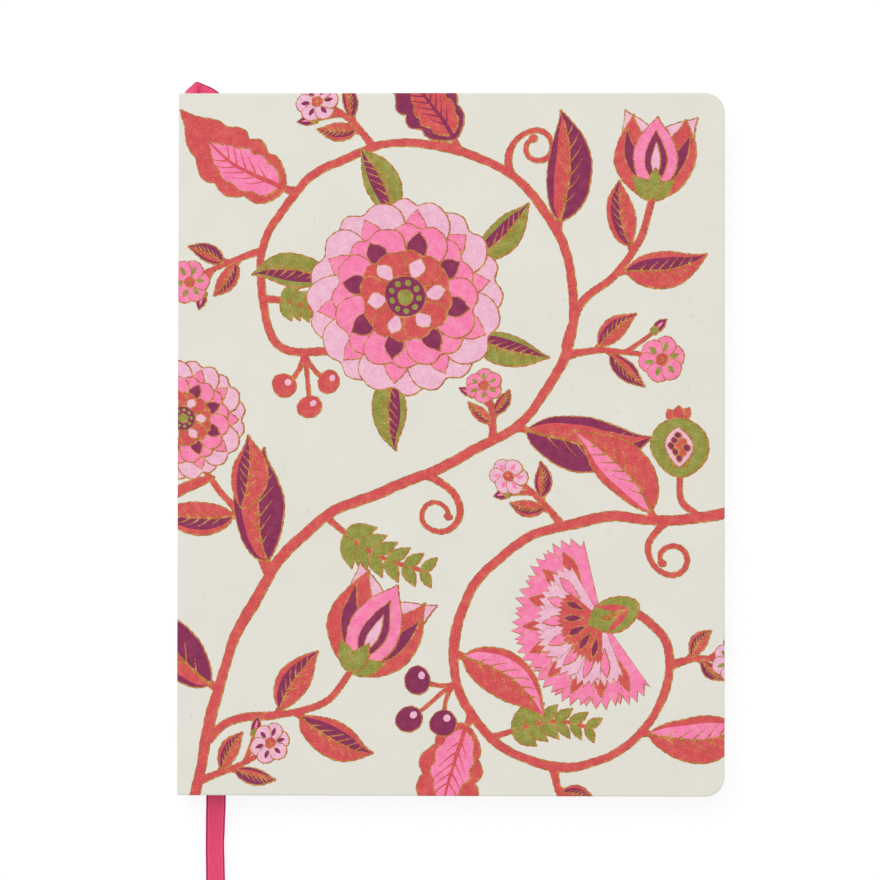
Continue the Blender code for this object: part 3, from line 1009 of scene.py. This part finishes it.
def make_section(number, paper):
    """A section of folded sheets. The first half of the sections rides no body, with its placing baked in."""
    name = f"section_{number:02d}"
    low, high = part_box(name)
    middle_z = (low.z + high.z) / 2
    widest = LEAF_PITCH * (LEAVES_PER_SECTION - 1) / 2
    fold_x = LEAF_X + widest + LEAF / 2
    points, faces = [], []
    for sheet in range(LEAVES_PER_SECTION // 2):
        sheet_points, sheet_sides = folded_sheet(fold_x, middle_z, widest - sheet * LEAF_PITCH)
        faces += shifted(sheet_sides, len(points))
        points += sheet_points
    section = link_mesh(f"{name}_leaves", points, faces, paper)
    soften(section)
    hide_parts(name)
    if number in TURNING_SECTIONS:
        bend_piece(section)
    else:
        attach(section, STILL_BODY)


def make_flyleaf(name, paper):
    low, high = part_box(name)
    across, halves = leaf_columns(LEAF_X, LEAF_FORE_X, LEAF_HALF_HEIGHT)
    middles = np.column_stack([across, np.full(len(across), (low.z + high.z) / 2)])
    normals = np.tile((0.0, 1.0), (len(across), 1))
    flyleaf = link_mesh(f"{name}_sheet", *sheet_faces(middles, normals, halves, high.z - low.z), paper)
    soften(flyleaf)
    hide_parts(name)
    bend_piece(flyleaf)


def soften(piece):
    """Shades a piece smoothly between its sharp edges, so that it would also shade smoothly if bent."""
    piece.data.shade_smooth()
    piece.data.set_sharp_from_angle(angle=SHARP)


def bend_piece(piece):
    """Bakes a piece's placing into its mesh. The piece rides no body."""
    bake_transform(piece)


def make_leaves():
    leaves = paper_material("leaf_paper", srgb(238, 234, 223), 0.015)
    endpaper = paper_material("endpaper", srgb(234, 230, 219), 0.02)
    for number in range(1, SECTIONS + 1):
        make_section(number, leaves)
    for side in ("front", "back"):
        make_flyleaf(f"{side}_flyleaf", endpaper)
        finish_node(f"{side}_pastedown", endpaper)


# Spine

def woven_material(name, colour, pitch, directions, gaps):
    """Cloth of two crossing sets of threads."""
    material, tree, shader, at = start_material(name, 0.85)
    threads = [waves(tree, at, pitch, way, 0.6) for way in directions]
    crossed = combine(tree, "MAXIMUM", *threads)
    tone = ramp(tree, crossed, (0.2, shade(colour, gaps)), (0.7, colour))
    tree.links.new(tone, shader.inputs["Base Color"])
    add_bump(tree, shader, crossed, 0.0001)
    return material


def make_headband(name, hand, materials):
    """A bead wrapped with thread in two colours, on a flat tape that is glued to the spine."""
    low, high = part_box(name)
    inner_y, outer_y = sorted((hand * low.y, hand * high.y))
    middle_x = (low.x + high.x) / 2
    middle_y = outer_y - BEAD / 2
    angles = 2 * math.pi * np.arange(BEAD_SIDES) / BEAD_SIDES
    rows = BEAD_WRAPS * WRAP_STEPS + 1
    points = []
    for row in range(rows):
        swell = 1 - GROOVE + GROOVE * abs(math.sin(math.pi * row / WRAP_STEPS))
        z = low.z + (high.z - low.z) * row / (rows - 1)
        x = middle_x + swell * (high.x - low.x) / 2 * np.cos(angles)
        y = middle_y + swell * BEAD / 2 * np.sin(angles)
        points += [(px, hand * py, z) for px, py in zip(x, y)]
    outline = ((low.x, inner_y), (low.x + TAPE, inner_y), (low.x + TAPE, middle_y), (low.x, middle_y))
    tape = [(x, hand * y, z) for z in (low.z, high.z) for x, y in outline]
    faces = tube_faces(rows, BEAD_SIDES) + shifted(tube_faces(2, len(outline)), len(points))
    band = link_mesh(f"{name}_band", points + tape, faces, *materials)
    for index, face in enumerate(band.data.polygons):
        wrap = index // (WRAP_STEPS * BEAD_SIDES)
        face.material_index = (wrap // WRAPS_PER_STRIPE) % 2 if wrap < BEAD_WRAPS else 1
        face.use_smooth = len(face.vertices) == 4
    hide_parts(name)
    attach(band, STILL_BODY)


def make_spine():
    board = paper_material("board", srgb(150, 146, 138), 0.15, 0.00005)
    for name in ("front_board", "back_board", "spine_board"):
        finish_node(name, board)
    finish_node("spine_lining", paper_material("lining", srgb(181, 155, 123), 0.1))
    mull = woven_material("mull", srgb(230, 224, 208), 0.0009, ("Y", "Z"), 0.45)
    finish_node("spine_mull", mull)
    thread = woven_material("thread", srgb(230, 225, 210), 0.0004, ("DIAGONAL", "Y"), 0.7)
    finish_node("sewing_thread", thread)
    stripes = (woven_material("headband_pink", srgb(214, 74, 116), 0.0003, ("Z", "DIAGONAL"), 0.7),
               woven_material("headband_cream", srgb(236, 230, 214), 0.0003, ("Z", "DIAGONAL"), 0.8))
    make_headband("headband_head", 1, stripes)
    make_headband("headband_tail", -1, stripes)


# Ribbon

def ribbon_rings(middles, across, travel, columns):
    """Points round the ribbon at each place along it, with picots on its thinner edges."""
    facing = np.cross(np.gradient(middles, axis=0), across)
    facing /= np.linalg.norm(facing, axis=1)[:, None]
    picot = PICOT * (1 + np.cos(2 * np.pi * travel / PICOT_PITCH)) / 2
    points = []
    for side in (1, -1):
        for column in columns[::side]:
            edge = abs(column) == 1
            reach = column * (RIBBON_WIDTH / 2 + picot * edge)
            rise = side * RIBBON / 2 * (RIBBON_EDGE if edge else 1)
            points.append(middles + across * reach[:, None] + facing * rise)
    return np.stack(points, axis=1)


def make_ribbon():
    """The ribbon: a woven strip along its route."""
    rows = smooth_route(RIBBON_ROUTE, RIBBON_STEPS)
    middles = rows[:, :3]
    heading, tilt = np.radians(rows[:, 3:]).T
    across = np.column_stack([np.cos(heading) * np.cos(tilt), np.sin(heading) * np.cos(tilt), np.sin(tilt)])
    steps = np.linalg.norm(np.diff(middles, axis=0), axis=1)
    travel = np.concatenate([[0], np.cumsum(steps)])
    columns = np.linspace(-1, 1, RIBBON_COLUMNS + 1)
    rings = ribbon_rings(middles, across, travel, columns)
    around = rings.shape[1]
    ribbon = link_mesh("ribbon", rings.reshape(-1, 3), tube_faces(len(rows), around), ribbon_material())
    shares = np.concatenate([columns, columns[::-1]]) / 2 + 0.5
    weave = ribbon.data.uv_layers.new(name="weave")
    for corner, spot in zip(ribbon.data.loops, weave.data):
        row, column = divmod(corner.vertex_index, around)
        spot.uv = (shares[column], travel[row])
    ribbon.data.shade_smooth()
    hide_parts("ribbon_marker")
    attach(ribbon, STILL_BODY)


def ribbon_material():
    """Satin: fine ribs across, streaks along, and dark selvages that also paint the shade of its edges, with
    a row of light stitches inside each.
    """
    material, tree, shader, _ = start_material("ribbon_satin", 0.5)
    sheen = {"Specular IOR Level": 0.12, "Sheen Weight": 0.35, "Sheen Roughness": 0.4,
             "Sheen Tint": srgb(255, 150, 190)}
    for name, value in sheen.items():
        shader.inputs[name].default_value = value
    place = node(tree, "UVMap", {}, uv_map="weave").outputs[0]
    across = node(tree, "SeparateXYZ", {0: place}).outputs[0]
    long_way = node(tree, "Mapping", {"Vector": place, "Scale": (60, 300, 1)}).outputs[0]
    body = ramp(tree, noise(tree, long_way, 1, 3), (0.3, srgb(221, 63, 105)), (0.7, srgb(241, 85, 127)))
    rows = ramp(tree, across, (0.09, BLACK), (0.135, WHITE), (0.18, BLACK),
                (0.82, BLACK), (0.865, WHITE), (0.91, BLACK))
    stitches = combine(tree, "POWER", waves(tree, place, STITCH_PITCH, "Y"), 3.0)
    dots = combine(tree, "MULTIPLY", rows, stitches)
    dotted = mix(tree, dots, body, srgb(250, 122, 160))
    # Dark bands along both edges: the selvages, and painted shade where the edges turn away from the light.
    selvages_and_edge_shade = ramp(tree, across, (0.01, BLACK), (0.03, WHITE), (0.05, WHITE), (0.08, BLACK),
                    (0.89, BLACK), (0.93, WHITE), (0.96, WHITE), (0.99, BLACK))
    edged = mix(tree, selvages_and_edge_shade, dotted, srgb(156, 26, 80))
    tree.links.new(edged, shader.inputs["Base Color"])
    add_bump(tree, shader, waves(tree, place, RIB_PITCH, "Y"), 0.00003)
    return material


# Stage

def make_camera():
    """A camera that sees the front cover in the photograph's place and size, with the photograph's lean."""
    pixel = (WIDTH / (COVER_RIGHT - COVER_LEFT) + 2 * HALF_HEIGHT / (COVER_BOTTOM - COVER_TOP)) / 2
    across = (COVER_LEFT + COVER_RIGHT - PHOTO_SIDE) / 2
    down = (COVER_TOP + COVER_BOTTOM - PHOTO_SIDE) / 2
    camera = bpy.data.objects.new("camera", bpy.data.cameras.new("camera"))
    camera.data.lens = LENS
    camera.data.sensor_width = SENSOR
    camera.data.clip_end = CLIP_END
    camera.rotation_euler = [math.radians(angle) for angle in CAMERA_LEAN]
    to_cover = pixel * Vector((across, -down, -PHOTO_SIDE * LENS / SENSOR))
    to_cover.rotate(camera.rotation_euler)
    camera.location = Vector((SPINE_X + WIDTH / 2, 0, TOP)) - to_cover
    bpy.context.scene.collection.objects.link(camera)
    bpy.context.scene.camera = camera


def bare_tree(owner):
    """The emptied node tree of a material or a world."""
    owner.use_nodes = True
    owner.node_tree.nodes.clear()
    return owner.node_tree


def seen_directly(tree):
    """1 for rays from the camera, from a mirror or through glass."""
    rays = node(tree, "LightPath", {}).outputs
    seen = rays["Is Camera Ray"]
    for kind in ("Is Glossy Ray", "Is Transmission Ray"):
        seen = combine(tree, "MAXIMUM", seen, rays[kind])
    return seen


def make_floor():
    """A plain floor that keeps the shadow and is white to the camera."""
    material = bpy.data.materials.new("floor")
    tree = bare_tree(material)
    matte = node(tree, "BsdfDiffuse", {"Color": shade(WHITE, FLOOR_GREY)}).outputs[0]
    glow = node(tree, "Emission", {"Color": WHITE, "Strength": FLOOR_GLOW}).outputs[0]
    white = node(tree, "MixShader", {0: GLOW_SHARE, 1: matte, 2: glow}).outputs[0]
    both = node(tree, "MixShader", {0: seen_directly(tree), 1: matte, 2: white}).outputs[0]
    node(tree, "OutputMaterial", {"Surface": both})
    half = FLOOR / 2
    corners = [(half * x, half * y, -FLOOR_DROP) for x, y in ((-1, -1), (1, -1), (1, 1), (-1, 1))]
    floor = link_mesh("floor", corners, [(0, 1, 2, 3)], material)


def make_world():
    """Soft light from all round, with a white backdrop."""
    world = bpy.data.worlds.new("studio")
    bpy.context.scene.world = world
    tree = bare_tree(world)
    light = node(tree, "Background", {"Color": WHITE, "Strength": SKY}).outputs[0]
    backdrop = node(tree, "Background", {"Color": WHITE, "Strength": BACKDROP}).outputs[0]
    both = node(tree, "MixShader", {0: seen_directly(tree), 1: light, 2: backdrop}).outputs[0]
    node(tree, "OutputWorld", {"Surface": both})


def make_lamp():
    """A broad lamp above, towards the head and the spine."""
    lamp = bpy.data.lights.new("key", "AREA")
    lamp.size = LAMP_SIZE
    lamp.energy = LAMP_POWER
    key = bpy.data.objects.new("key", lamp)
    key.location = LAMP_PLACE
    key.rotation_euler = (-key.location).to_track_quat("-Z", "Y").to_euler()
    bpy.context.scene.collection.objects.link(key)


def main():
    random.seed(SEED)
    bpy.context.scene.view_settings.view_transform = "Standard"
    make_camera()
    make_ribbon()
    make_covers()
    make_leaves()
    make_spine()
    make_floor()
    make_world()
    make_lamp()


main()
